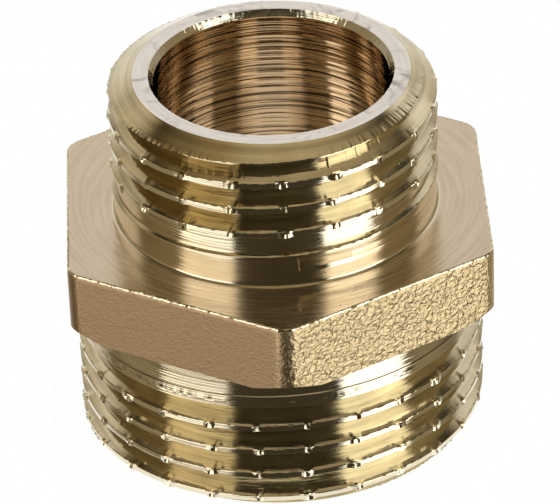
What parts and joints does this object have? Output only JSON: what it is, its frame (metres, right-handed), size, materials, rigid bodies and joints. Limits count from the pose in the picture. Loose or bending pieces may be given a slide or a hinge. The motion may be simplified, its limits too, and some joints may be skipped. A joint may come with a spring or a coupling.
{
  "type": "hexagon pipe thread adapter",
  "caption": "Reducing hexagon adapter with a larger and a smaller male parallel pipe thread on one bore, turned from forged brass.",
  "frame": {"origin": "centre of the large end's flat face, where the part stands", "axes": "+Z along the bore towards the small end; corners of the hexagon on +Y and -Y, flats on +X and -X"},
  "size_m": [0.027, 0.0308, 0.025],
  "materials": {
    "brass": "bright turned ends and bore, blasted hexagon flats"
  },
  "bodies": {
    "root": {"adapter_body": "brass"}
  },
  "joints": []
}
